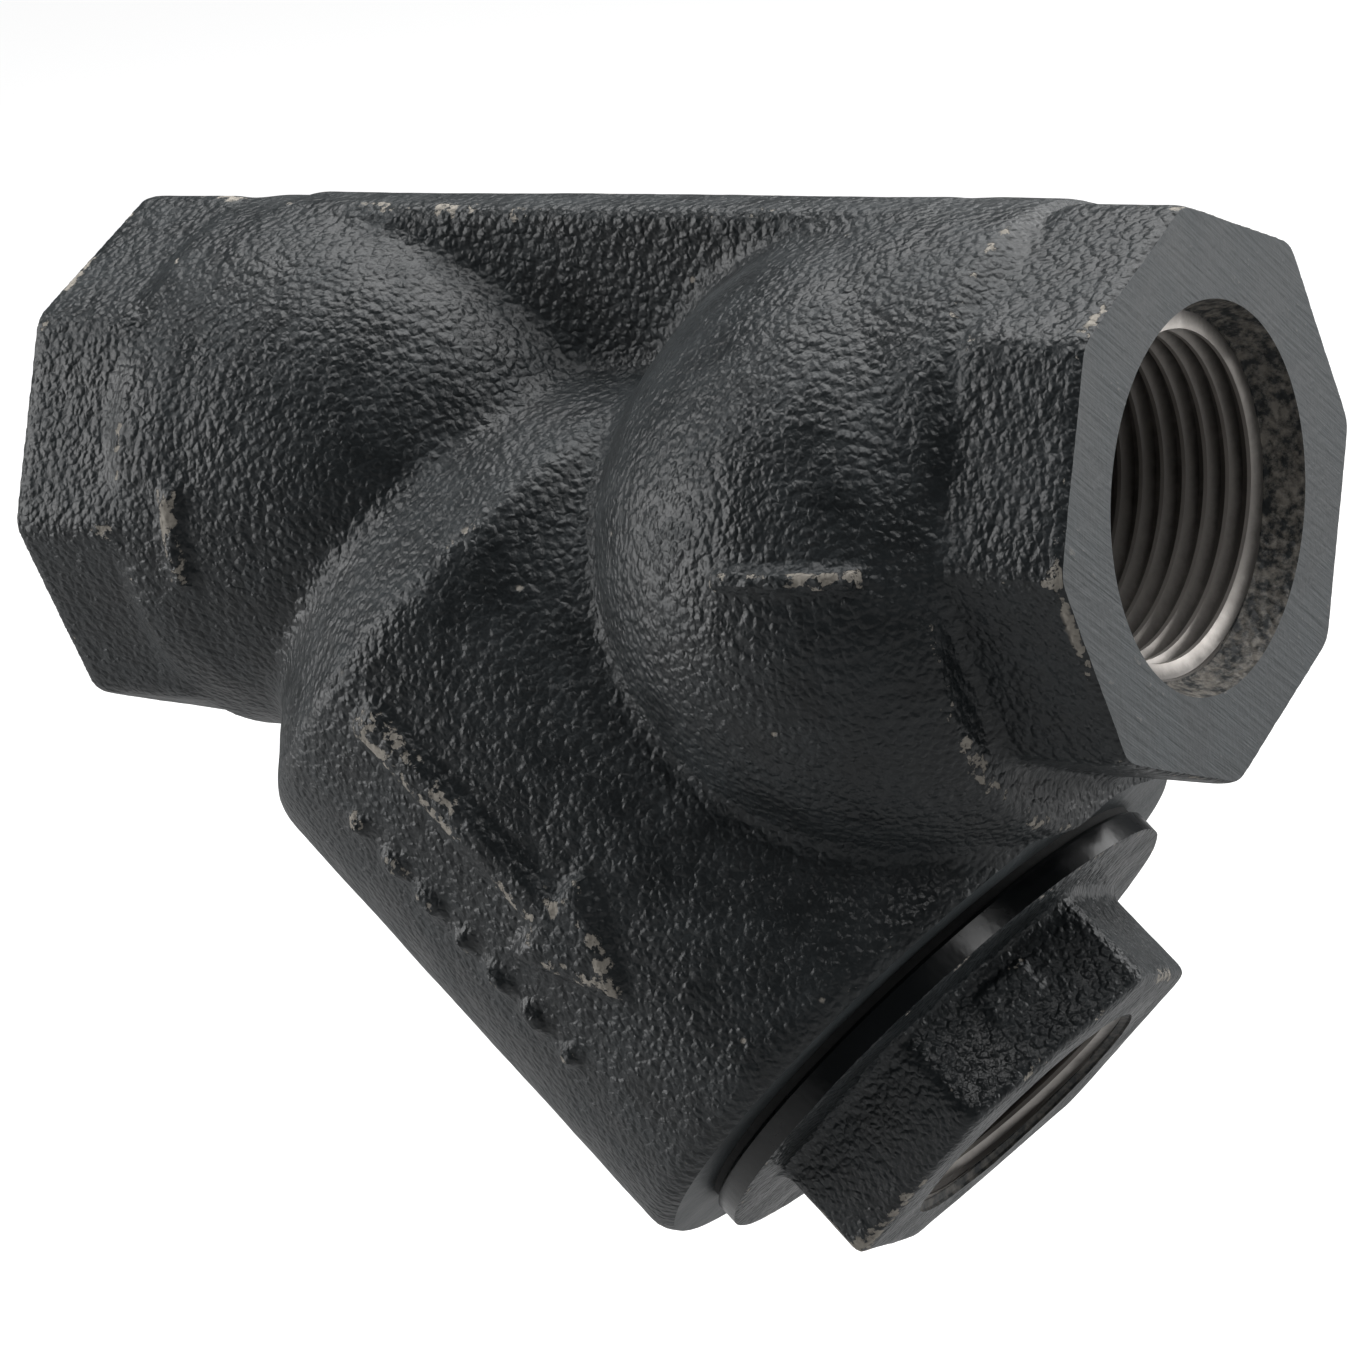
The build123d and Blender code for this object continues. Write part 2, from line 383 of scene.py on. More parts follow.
def combine(piece, other, operation):
    """Cuts, adds or intersects another solid, whose faces keep their materials, and uses it up."""
    modifier(piece, "BOOLEAN", object=other, operation=operation, solver="EXACT", material_mode="TRANSFER")
    bpy.data.objects.remove(other)
    return piece


def smooth_faces(piece, degrees=32):
    only(piece)
    bpy.ops.object.shade_smooth_by_angle(angle=math.radians(degrees))
    return piece


def thread_sleeve(name, pitch, root, crest, wall, start, end, taper=0.0):
    """A closed sleeve with a helical 60-degree thread between two places along local Z.

    wall is the plain side, larger than root for an inside thread and smaller for an outside one.
    """
    turns = math.ceil((end - start) / pitch) + 2
    flat, flank = 0.09, 0.30  # shares of one pitch
    tooth = [(0.0, root), (0.5 - flat - flank, root), (0.5 - flat, crest)]
    tooth += [(0.5 + flat, crest), (0.5 + flat + flank, root), (1.0, root)]
    base = start - pitch
    corners = [(radius, 0, base + share * pitch) for share, radius in tooth]
    mesh = bpy.data.meshes.new(name)
    mesh.from_pydata(corners, [(i, i + 1) for i in range(len(corners) - 1)], [])
    piece = bpy.data.objects.new(name, mesh)
    bpy.context.scene.collection.objects.link(piece)
    modifier(piece, "SCREW", axis="Z", angle=math.tau, steps=80, render_steps=80, screw_offset=pitch,
             iterations=turns, use_merge_vertices=True, merge_threshold=0.001 * MM, use_smooth_shade=True)
    only(piece)
    bpy.ops.object.mode_set(mode="EDIT")
    bpy.ops.mesh.select_all(action="SELECT")
    bpy.ops.mesh.remove_doubles(threshold=0.002 * MM)
    for place, normal in ((start, (0, 0, -1)), (end, (0, 0, 1))):
        bpy.ops.mesh.select_all(action="SELECT")
        bpy.ops.mesh.bisect(plane_co=(0, 0, place), plane_no=normal, clear_outer=True)
    bpy.ops.mesh.select_all(action="SELECT")
    bpy.ops.mesh.remove_doubles(threshold=0.004 * MM)
    bpy.ops.mesh.select_all(action="SELECT")
    bpy.ops.mesh.region_to_loop()
    bpy.ops.mesh.extrude_edges_move()
    bpy.ops.object.mode_set(mode="OBJECT")
    for point in piece.data.vertices:
        around = math.hypot(point.co.x, point.co.y)
        if point.select:
            point.co.x *= wall / around
            point.co.y *= wall / around
        elif taper:
            point.co.x *= 1 - taper * (point.co.z - start) / around
            point.co.y *= 1 - taper * (point.co.z - start) / around
    bpy.ops.object.mode_set(mode="EDIT")
    bpy.ops.mesh.bridge_edge_loops()
    bpy.ops.object.mode_set(mode="OBJECT")
    outward(piece)
    around = np.hypot(*points_of(piece).T[:2])
    depth = np.clip((around - crest) / (root - crest), 0, 1)
    # groove: 0 on the crest, 1 in the root; thread_iron darkens the roots with it as painted shade
    groove = piece.data.attributes.new("groove", "FLOAT", "POINT")
    groove.data.foreach_set("value", depth.astype(np.float32))
    return piece


def dress(piece, body, slot, *materials):
    """Gives a finished piece its body and its materials."""
    for index, material in enumerate(materials):
        if index < len(piece.data.materials):
            piece.data.materials[index] = material
        else:
            piece.data.materials.append(material)
    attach(piece, body)
    return piece


# ---------------------------------------------------------------- shader effects

def new_group(name, inputs, outputs):
    group = bpy.data.node_groups.new(name, "ShaderNodeTree")
    for socket, kind, default in inputs:
        made = group.interface.new_socket(name=socket, in_out="INPUT", socket_type=kind)
        if default is not None:
            made.default_value = default
    for socket, kind in outputs:
        group.interface.new_socket(name=socket, in_out="OUTPUT", socket_type=kind)
    return group, group.nodes.new("NodeGroupInput"), group.nodes.new("NodeGroupOutput")


def add_node(tree, kind, **values):
    """A node whose sockets are set by name (a number, a colour) or linked (another node's output)."""
    node = tree.nodes.new(kind)
    for name, value in values.items():
        if hasattr(node, name) and not isinstance(value, bpy.types.NodeSocket):
            setattr(node, name, value)
            continue
        socket = node.inputs[int(name[1:])] if name[1:].isdigit() else node.inputs[name.replace("_", " ")]
        if isinstance(value, bpy.types.NodeSocket):
            tree.links.new(value, socket)
        else:
            socket.default_value = value
    return node


def math_node(tree, operation, first, second=0.0, third=0.0, clamp=False):
    node = add_node(tree, "ShaderNodeMath", operation=operation, use_clamp=clamp, i0=first, i1=second,
                    i2=third)
    return node.outputs[0]


def ramp_value(tree, value, low, high, to_low=0.0, to_high=1.0):
    node = add_node(tree, "ShaderNodeMapRange", Value=value, From_Min=low, From_Max=high, To_Min=to_low,
                    To_Max=to_high)
    return node.outputs[0]


def mix_colour(tree, share, first, second):
    node = tree.nodes.new("ShaderNodeMix")
    node.data_type = "RGBA"
    for index, value in ((0, share), (6, first), (7, second)):
        if isinstance(value, bpy.types.NodeSocket):
            tree.links.new(value, node.inputs[index])
        else:
            node.inputs[index].default_value = value if index == 0 else (*value[:3], 1)
    return node.outputs[2]


def make_cast_grain():
    """Pebbled skin of paint over sand-cast iron: lumps well under a millimetre across, and finer grit."""
    group, given, result = new_group("cast_grain", [("Vector", "NodeSocketVector", None),
                                                     ("Scale", "NodeSocketFloat", 900.0)],
                                     [("Height", "NodeSocketFloat"), ("Mottle", "NodeSocketFloat")])
    vector, scale = given.outputs[:2]
    fine = math_node(group, "MULTIPLY", scale, 1.9)
    broad = math_node(group, "MULTIPLY", scale, 0.16)
    warp = add_node(group, "ShaderNodeTexNoise", Vector=vector, Scale=scale, Detail=1.0)
    bent = add_node(group, "ShaderNodeVectorMath", operation="MULTIPLY_ADD", i0=warp.outputs["Color"],
                    i1=(0.0006, 0.0006, 0.0006), i2=vector)
    pebble = add_node(group, "ShaderNodeTexVoronoi", feature="SMOOTH_F1", Vector=bent.outputs[0], Scale=scale,
                      Smoothness=0.35)
    coarse = math_node(group, "MULTIPLY", scale, 0.55)
    lumps = add_node(group, "ShaderNodeTexNoise", Vector=vector, Scale=coarse, Detail=2.0)
    grit = add_node(group, "ShaderNodeTexNoise", Vector=vector, Scale=fine, Detail=2.0)
    patches = add_node(group, "ShaderNodeTexNoise", Vector=vector, Scale=broad, Detail=2.0)
    round_lumps = ramp_value(group, pebble.outputs["Distance"], 0.1, 0.75, 1.0, 0.0)
    strength = ramp_value(group, patches.outputs[0], 0.3, 0.7, 0.55, 1.0)
    height = math_node(group, "MULTIPLY", round_lumps, strength)
    height = math_node(group, "MULTIPLY_ADD", lumps.outputs[0], 1.1, height)
    height = math_node(group, "MULTIPLY_ADD", grit.outputs[0], 0.35, height)
    group.links.new(height, result.inputs[0])
    group.links.new(patches.outputs[0], result.inputs[1])
    return group


def make_edge_chips():
    """Where paint has gone: ragged chips along worn edges, and a few small specks elsewhere."""
    group, given, result = new_group("edge_chips", [("Vector", "NodeSocketVector", None),
                                                     ("Wear", "NodeSocketFloat", 0.0),
                                                     ("Specks", "NodeSocketFloat", 0.04)],
                                     [("Mask", "NodeSocketFloat")])
    vector, wear, specks = given.outputs[:3]
    ragged = add_node(group, "ShaderNodeTexNoise", Vector=vector, Scale=1300.0, Detail=3.0, Roughness=0.6)
    where = add_node(group, "ShaderNodeTexNoise", Vector=vector, Scale=120.0, Detail=3.0, Roughness=0.65)
    reach = math_node(group, "MULTIPLY_ADD", where.outputs[0], 1.7, ragged.outputs[0])
    reach = math_node(group, "MULTIPLY_ADD", wear, 0.58, reach)
    edge = ramp_value(group, reach, 1.73, 1.79)
    edge = math_node(group, "MULTIPLY", edge, ramp_value(group, wear, 0.12, 0.3))
    dots = add_node(group, "ShaderNodeTexVoronoi", Vector=vector, Scale=330.0)
    chance = add_node(group, "ShaderNodeSeparateColor", Color=dots.outputs["Color"])
    rim = math_node(group, "MULTIPLY_ADD", ragged.outputs[0], 0.16, dots.outputs["Distance"])
    near = ramp_value(group, rim, 0.15, 0.19, 1.0, 0.0)
    chosen = math_node(group, "LESS_THAN", chance.outputs[0], specks)
    mask = math_node(group, "MAXIMUM", edge, math_node(group, "MULTIPLY", near, chosen), clamp=True)
    group.links.new(mask, result.inputs[0])
    return group


def make_tool_marks():
    """Fine lines that a facing tool leaves, stronger in some patches than in others."""
    group, given, result = new_group("tool_marks", [("Vector", "NodeSocketVector", None),
                                                     ("Scale", "NodeSocketFloat", 260.0)],
                                     [("Height", "NodeSocketFloat"), ("Shade", "NodeSocketFloat")])
    vector, scale = given.outputs[:2]
    drawn = add_node(group, "ShaderNodeMapping", Vector=vector, Scale=(1, 0.05, 1))
    fine = math_node(group, "MULTIPLY", scale, 9.0)
    lines = add_node(group, "ShaderNodeTexNoise", Vector=drawn.outputs[0], Scale=fine, Detail=3.0,
                     Roughness=0.6)
    uneven = add_node(group, "ShaderNodeTexNoise", Vector=vector, Scale=170.0, Detail=3.0)
    strength = ramp_value(group, uneven.outputs[0], 0.3, 0.6, 0.4, 1.0)
    height = math_node(group, "MULTIPLY", lines.outputs[0], strength)
    group.links.new(height, result.inputs[0])
    group.links.new(uneven.outputs[0], result.inputs[1])
    return group


def start_material(name, viewport):
    material = bpy.data.materials.new(name)
    material.use_nodes = True
    material.diffuse_color = (*viewport[:3], 1)
    tree = material.node_tree
    shader = tree.nodes["Principled BSDF"]
    coordinates = tree.nodes.new("ShaderNodeTexCoord").outputs["Object"]
    return material, tree, shader, coordinates


def place_group(tree, name, **values):
    node = tree.nodes.new("ShaderNodeGroup")
    node.node_tree = bpy.data.node_groups[name]
    for socket, value in values.items():
        if isinstance(value, bpy.types.NodeSocket):
            tree.links.new(value, node.inputs[socket])
        else:
            node.inputs[socket].default_value = value
    return node


def tinted(base, times, more=0.0):
    return [channel * times + more for channel in base]


def bump(tree, shader, height, distance):
    node = add_node(tree, "ShaderNodeBump", Height=height, Distance=distance)
    tree.links.new(node.outputs[0], shader.inputs["Normal"])


def painted_iron(name, paint, chipped, grain_scale, grain_depth, gloss, specks):
    """Paint over cast iron, with chips along the edges."""
    material, tree, shader, spot = start_material(name, paint)
    grain = place_group(tree, "cast_grain", Vector=spot, Scale=grain_scale)
    wear = tree.nodes.new("ShaderNodeAttribute")
    wear.attribute_name = "edge_wear"
    chips = place_group(tree, "edge_chips", Vector=spot, Wear=wear.outputs["Fac"], Specks=specks)
    dusty = [min(1, channel * 1.9 + 0.003) for channel in paint]
    body = mix_colour(tree, ramp_value(tree, grain.outputs["Mottle"], 0.3, 0.75), paint, dusty)
    stained = add_node(tree, "ShaderNodeTexNoise", Vector=spot, Scale=800.0, Detail=2.0)
    bare = mix_colour(tree, stained.outputs[0], tinted(chipped, 0.45), chipped)
    tree.links.new(mix_colour(tree, chips.outputs[0], body, bare), shader.inputs["Base Color"])
    dull = ramp_value(tree, grain.outputs["Mottle"], 0.3, 0.7, gloss, gloss + 0.14)
    rough = math_node(tree, "MULTIPLY_ADD", chips.outputs[0], 0.35, dull, clamp=True)
    tree.links.new(rough, shader.inputs["Roughness"])
    height = math_node(tree, "MULTIPLY_ADD", chips.outputs[0], -0.5, grain.outputs["Height"])
    bump(tree, shader, height, grain_depth)
    shader.inputs["Specular IOR Level"].default_value = 0.5
    return material


def faced_iron(name, paint, chipped, lines_turn):
    """A machined face under a thin coat of paint. Its colour is lighter than the body paint, partly for the
    thin coat and partly as a painted reflection of the bright surroundings.
    """
    material, tree, shader, spot = start_material(name, paint)
    turned_spot = add_node(tree, "ShaderNodeMapping", Vector=spot, Rotation=lines_turn)
    marks = place_group(tree, "tool_marks", Vector=turned_spot.outputs[0], Scale=230.0)
    grit = add_node(tree, "ShaderNodeTexNoise", Vector=spot, Scale=1500.0, Detail=3.0)
    # both tones are the thin coat lightened partly as painted reflection, mixed by uneven noise
    film_and_sheen = tinted(paint, 2.2, 0.012)
    light = tinted(paint, 3.4, 0.02)
    body = mix_colour(tree, ramp_value(tree, marks.outputs["Shade"], 0.35, 0.7), film_and_sheen, light)
    scratch = ramp_value(tree, math_node(tree, "ADD", marks.outputs["Height"], grit.outputs[0]), 1.2, 1.9)
    tree.links.new(mix_colour(tree, scratch, body, chipped), shader.inputs["Base Color"])
    rough = ramp_value(tree, marks.outputs["Shade"], 0.3, 0.7, 0.36, 0.5)
    tree.links.new(rough, shader.inputs["Roughness"])
    height = math_node(tree, "MULTIPLY_ADD", grit.outputs[0], 0.5, marks.outputs["Height"])
    bump(tree, shader, height, 0.08 * MM)
    return material


def cored_iron(name, paint, chipped, depth):
    """Rough cored metal inside the mouths: thin paint, rust-brown grit."""
    material, tree, shader, spot = start_material(name, paint)
    grain = place_group(tree, "cast_grain", Vector=spot, Scale=1300.0)
    grit = add_node(tree, "ShaderNodeTexNoise", Vector=spot, Scale=900.0, Detail=4.0, Roughness=0.7)
    share = ramp_value(tree, grit.outputs[0], 0.42, 0.62)
    light = tinted(chipped, 0.42)
    tree.links.new(mix_colour(tree, share, paint, light), shader.inputs["Base Color"])
    shader.inputs["Roughness"].default_value = 0.55
    bump(tree, shader, grain.outputs["Height"], depth)
    return material


def thread_iron(name, iron):
    """Cut threads: bare iron crests, with the roots darkened as painted shade and broken up by noise smears.
    """
    material, tree, shader, spot = start_material(name, iron)
    groove = tree.nodes.new("ShaderNodeAttribute")
    groove.attribute_name = "groove"
    smear = add_node(tree, "ShaderNodeTexNoise", Vector=spot, Scale=420.0, Detail=4.0, Roughness=0.65)
    # painted shade: the deeper a point lies in the thread root, the darker its colour, mixed with random
    # smears
    root_shade = math_node(tree, "SUBTRACT", groove.outputs["Fac"], 0.45)
    share = math_node(tree, "MULTIPLY_ADD", smear.outputs[0], 0.9, root_shade)
    dark = tinted(iron, 0.34)
    base = mix_colour(tree, ramp_value(tree, share, 0.15, 0.85), iron, dark)
    tree.links.new(base, shader.inputs["Base Color"])
    shader.inputs["Metallic"].default_value = 0.55
    tree.links.new(ramp_value(tree, smear.outputs[0], 0.3, 0.7, 0.3, 0.5), shader.inputs["Roughness"])
    bump(tree, shader, smear.outputs[0], 0.04 * MM)
    return material


def turned_paint(name, paint):
    """Black paint on a turned side: smooth and glossy, with faint smears."""
    material, tree, shader, spot = start_material(name, paint)
    smear = add_node(tree, "ShaderNodeTexNoise", Vector=spot, Scale=160.0, Detail=4.0)
    base = mix_colour(tree, smear.outputs[0], tinted(paint, 0.6), paint)
    tree.links.new(base, shader.inputs["Base Color"])
    tree.links.new(ramp_value(tree, smear.outputs[0], 0.35, 0.7, 0.16, 0.32), shader.inputs["Roughness"])
    grit = add_node(tree, "ShaderNodeTexNoise", Vector=spot, Scale=700.0, Detail=2.0)
    bump(tree, shader, grit.outputs[0], 0.03 * MM)
    return material


def fibre(name, dark):
    """Compressed-fibre gasket sheet."""
    material, tree, shader, spot = start_material(name, dark)
    weave = add_node(tree, "ShaderNodeTexNoise", Vector=spot, Scale=1800.0, Detail=4.0)
    base = mix_colour(tree, weave.outputs[0], tinted(dark, 0.5), tinted(dark, 1.8))
    tree.links.new(base, shader.inputs["Base Color"])
    shader.inputs["Roughness"].default_value = 0.75
    bump(tree, shader, weave.outputs[0], 0.04 * MM)
    return material


def stainless(name, steel, rough_low, rough_high):
    """Rolled stainless sheet with brushing, water stains and dulled patches."""
    material, tree, shader, spot = start_material(name, steel)
    stretched = add_node(tree, "ShaderNodeMapping", Vector=spot, Rotation=(0, math.radians(45), 0),
                         Scale=(1, 1, 0.06))
    brushing = add_node(tree, "ShaderNodeTexNoise", Vector=stretched.outputs[0], Scale=2600.0, Detail=2.0)
    stains = add_node(tree, "ShaderNodeTexNoise", Vector=spot, Scale=120.0, Detail=4.0)
    dull = tinted(steel, 0.62)
    base = mix_colour(tree, ramp_value(tree, stains.outputs[0], 0.35, 0.7), steel, dull)
    tree.links.new(base, shader.inputs["Base Color"])
    shader.inputs["Metallic"].default_value = 1.0
    stained = math_node(tree, "MULTIPLY", stains.outputs[0], 0.6)
    share = math_node(tree, "MULTIPLY_ADD", brushing.outputs[0], 0.4, stained)
    tree.links.new(ramp_value(tree, share, 0.3, 0.7, rough_low, rough_high), shader.inputs["Roughness"])
    bump(tree, shader, brushing.outputs[0], 0.012 * MM)
    return material


class STRAINER_OT_materials(bpy.types.Operator):
    """Make the paint, iron and steel finishes"""

    bl_idname = "strainer.materials"
    bl_label = "Make Finishes"

    def execute(self, context):
        tint = context.scene.strainer_colours
        make_cast_grain()
        make_edge_chips()
        make_tool_marks()
        paint = list(tint.paint)
        chipped = list(tint.chipped)
        painted_iron("body_paint", paint, chipped, 1500.0, 0.17 * MM, 0.34, 0.03)
        painted_iron("cap_paint", paint, chipped, 1600.0, 0.16 * MM, 0.30, 0.03)
        faced_iron("faced_paint", paint, chipped, (math.radians(38), 0, 0))
        cored_iron("cored_iron", paint, chipped, 0.12 * MM)
        cored_iron("bore_iron", paint, tinted(chipped, 0.5), 0.08 * MM)
        thread_iron("thread_iron", list(tint.iron))
        turned_paint("turned_paint", tinted(paint, 0.5))
        fibre("gasket_fibre", list(tint.gasket))
        stainless("screen_steel", list(tint.steel), 0.22, 0.42)
        stainless("band_steel", tinted(tint.steel, 1.05), 0.16, 0.32)
        return {"FINISHED"}


def finish_named(name):
    return bpy.data.materials[name]


# ---------------------------------------------------------------- body casting

def sort_cut_faces(cutter, faced, cored, origin, direction):
    """Gives a cutter's faces their finish: faced flats, the cored mouth, and the bore."""
    for name in ("faced_paint", "cored_iron", "bore_iron"):
        cutter.data.materials.append(finish_named(name))
    for face in cutter.data.polygons:
        offset = face.center - origin
        along = offset.dot(direction)
        around = (offset - along * direction).length
        square = abs(face.normal.dot(direction)) > 0.9
        if faced[0] < along < faced[1] and square and around > THREAD_RADIUS:
            face.material_index = 0
        elif cored[0] < along < cored[1]:
            face.material_index = 1
        else:
            face.material_index = 2


def arc_points(centre, radius, first, last, steps):
    """Points on an arc about a place on the axis, as (along, radius), angles from the axis in degrees."""
    angles = [math.radians(first + (last - first) * i / steps) for i in range(steps + 1)]
    return [(centre + radius * math.cos(a), radius * math.sin(a)) for a in angles]


def end_cutter(name, origin, inward, ball_x, ball_radius):
    """Faces one pipe end, and opens its mouth, thread bore, passage and pocket."""
    clear = 32 * MM  # outside every part of the casting's end
    thread_end = RECESS + THREAD_LENGTH
    depth = abs(ball_x - origin.x)
    first = 180 - math.degrees(math.asin(PASSAGE_RADIUS / ball_radius))
    outline = [(-4 * MM, clear), (0, clear), (0, MOUTH_RADIUS), (RECESS * 0.9, 13.75 * MM)]
    outline += [(RECESS, 13.6 * MM), (RECESS, THREAD_BORE), (thread_end, THREAD_BORE)]
    outline.append((thread_end, PASSAGE_RADIUS))
    outline += arc_points(depth, ball_radius, first, 4, 16)
    cutter = lay_along(turned(name, outline, 160), origin, inward)
    tiny = 0.01 * MM
    sort_cut_faces(cutter, (-tiny, tiny), (-tiny, RECESS + tiny), origin, inward)
    return cutter


def branch_cutter(sizes):
    """Faces the mouth, and opens the cap thread, chamber, screen seat and throat."""
    bore_start = sizes.mouth - 12 * MM
    outline = [(0, THROAT_RADIUS), (SEAT_FLOOR, THROAT_RADIUS), (SEAT_FLOOR, SEAT_RADIUS)]
    outline += [(SEAT_END, SEAT_RADIUS), (SEAT_END, CHAMBER_RADIUS), (bore_start, CHAMBER_RADIUS)]
    outline += [(bore_start, CAP_BORE), (sizes.mouth - 0.4 * MM, CAP_BORE)]
    outline += [(sizes.mouth, 19.9 * MM), (sizes.mouth, sizes.barrel_radius + 0.1 * MM)]
    outline += [(sizes.mouth + 8 * MM, sizes.barrel_radius + 0.1 * MM)]
    cutter = lay_along(turned("branch_cutter", outline, 192), BRANCH_ROOT, BRANCH)
    tiny = 0.01 * MM
    faced = (sizes.mouth - tiny, sizes.mouth + tiny)
    sort_cut_faces(cutter, faced, (SEAT_FLOOR, bore_start), BRANCH_ROOT, BRANCH)
    return cutter


def barrel_outline(sizes):
    """The barrel's slope, shoulder, plain side and mouth edge, from the run axis outwards."""
    wide = sizes.barrel_radius
    shoulder = [(0, 13.5), (8.3, 21.6), (9.6, 23.0), (11.0, 24.2), (12.4, 25.6), (13.2, 26.3)]
    outline = [(along * MM, radius * MM) for along, radius in shoulder]
    outline += [(14.6 * MM, wide), (sizes.mouth - 1.3 * MM, wide), (sizes.mouth - 0.5 * MM, wide - 0.35 * MM)]
    outline += [(sizes.mouth, wide - 0.9 * MM), (sizes.mouth + 1.2 * MM, wide - 1.8 * MM)]
    return outline


def flow_marks(sizes):
    """A plain raised arrow along the barrel and a row of foundry pips below it."""
    wide = sizes.barrel_radius
    middle = 31.0 * MM
    shaft_centre = (0.4 * MM, wide - 0.6 * MM, middle - 4 * MM)
    shaft = block("arrow_shaft", shaft_centre, (2.9 * MM, 3.0 * MM, 20 * MM), 0.35 * MM)
    deselect()
    bpy.ops.mesh.primitive_cylinder_add(vertices=3, radius=5.8 * MM, depth=3.0 * MM,
                                        location=(0.4 * MM, wide - 0.6 * MM, middle + 9.4 * MM),
                                        rotation=(math.radians(90), 0, 0))
    head = apply_place(name_new("arrow_head"))
    marks = [shaft, head]
    lean = math.radians(108)
    for index in range(7):
        place = (wide * math.cos(lean), wide * math.sin(lean), (21.5 + 4.0 * index) * MM)
        pip = (1.0 * MM, 0.95 * MM, (1.6 if index % 3 else 0.9) * MM)
        marks.append(ball("pip", place, pip))
    return [lay_along(mark, BRANCH_ROOT, BRANCH) for mark in marks]


def hub_ticks(outlet_dome, dome_radii):
    """Short raised bars on the domes: upright beside the inlet hub, level beside the outlet hub."""
    ticks = [block("tick", (12.5 * MM, -20.9 * MM, -0.45 * MM), (1.2 * MM, 1.7 * MM, 7.8 * MM), 0.3 * MM)]
    level = 0.5 * MM
    long, wide, tall = dome_radii
    for index in range(4):
        x = (68.6 + 2.5 * index) * MM
        share = 1 - ((x - outlet_dome.x) / long) ** 2 - ((level - outlet_dome.z) / tall) ** 2
        place = (x, -wide * math.sqrt(share), level)
        ticks.append(block("tick", place, (3.6 * MM, 1.7 * MM, 1.1 * MM)))
    return ticks


def cast_solids(sizes):
    """The plain solids that the foundry pattern is made of."""
    spare = 0.5 * MM
    edge = 0.9 * MM
    inlet_hub_end = INLET_FACE + sizes.hub_length
    outlet_hub_start = OUTLET_FACE - sizes.hub_length
    dome_radii = (24.1 * MM, 27.2 * MM, 24.9 * MM)
    outlet_dome = Vector((67.9 * MM, 0, -4.3 * MM))
    neck = 73 * MM
    web_start = 12 * MM
    hub_spans = (("inlet_hub", INLET_FACE - spare, inlet_hub_end),
                 ("outlet_hub", outlet_hub_start, OUTLET_FACE + spare))
    solids = [lay_along(polygon_prism(name, 8, sizes.hub_flats, start, end, 0, edge), Vector(), RUN)
              for name, start, end in hub_spans]
    solids += [
        ball("inlet_dome", (12 * MM, 0, 0), (32 * MM, 20.9 * MM, 21.5 * MM), (11.9 * MM, -1)),
        lay_along(turned("inlet_neck", [(inlet_hub_end - MM, 20.6 * MM), (inlet_hub_end, 21.3 * MM),
                                        (12 * MM, 21.3 * MM)]), Vector(), RUN),
        ball("outlet_neck_dome", (neck, 0, 0), (25 * MM, 21.5 * MM, 21.5 * MM), (neck + 0.1 * MM, 1)),
        ball("outlet_dome", outlet_dome, dome_radii, (outlet_hub_start, 1)),
        lay_along(turned("outlet_neck", [(neck, 21.5 * MM), (outlet_hub_start - 1.4 * MM, 21.5 * MM),
                                         (outlet_hub_start + 0.3 * MM, 20.3 * MM)]), Vector(), RUN),
        lay_along(turned("barrel", barrel_outline(sizes), 160), BRANCH_ROOT, BRANCH),
        block("web", ((web_start + neck) / 2, 0, sizes.web_top / 2),
              (neck - web_start, sizes.web_thickness, sizes.web_top), edge),
    ]
    return solids, flow_marks(sizes) + hub_ticks(outlet_dome, dome_radii)


class STRAINER_OT_body(bpy.types.Operator):
    """Cast the body, machine its faces and bores, and cut its threads"""

    bl_idname = "strainer.body"
    bl_label = "Cast Body"

    def execute(self, context):
        sizes = context.scene.strainer_sizes
        solids, marks = cast_solids(sizes)
        hub_ends = (INLET_FACE + sizes.hub_length + 4 * MM, OUTLET_FACE - sizes.hub_length - 4 * MM)
        shell = fill_creases(join("shell", solids), sizes.skin, 3, 14, hub_ends)
        casting = cast_skin(join("body_casting", [shell] + marks), sizes.skin, 1, 0.035 * MM)
        casting.data.materials.clear()
        casting.data.materials.append(finish_named("body_paint"))
        cutter = branch_cutter(sizes)
        for end in (end_cutter("inlet_cutter", Vector((INLET_FACE, 0, 0)), RUN, BRANCH_ROOT.x, 12.3 * MM),
                    end_cutter("outlet_cutter", Vector((OUTLET_FACE, 0, 0)), -RUN, 61 * MM, 14 * MM)):
            combine(cutter, end, "UNION")
        combine(casting, cutter, "DIFFERENCE")
        smooth_faces(casting)
        dress(casting, "casting", "painted_casting")
        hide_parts("body")
        make_body_threads(sizes)
        return {"FINISHED"}


def make_body_threads(sizes):
    taper = 1 / 32
    root, crest, wall = THREAD_RADIUS + 0.58 * MM, THREAD_RADIUS - 0.5 * MM, THREAD_RADIUS + 0.8 * MM
    for name, start, inward in (("inlet_thread", INLET, RUN), ("outlet_thread", OUTLET, -RUN)):
        sleeve = thread_sleeve(name, sizes.pitch, root, crest, wall, 0.02 * MM, THREAD_LENGTH, taper)
        lay_along(sleeve, start, inward)
        shade_thread(sleeve, "casting", "painted_casting")
    seat = thread_sleeve("cap_seat_thread", sizes.pitch, 19.45 * MM, 18.86 * MM, 19.72 * MM,
                         sizes.mouth - 11.9 * MM, sizes.mouth - 0.5 * MM)
    lay_along(seat, BRANCH_ROOT, BRANCH)
    shade_thread(seat, "casting", "painted_casting")


def shade_thread(sleeve, body, slot):
    smooth_faces(sleeve, 30)
    dress(sleeve, body, slot, finish_named("thread_iron"))


# ---------------------------------------------------------------- retainer cap

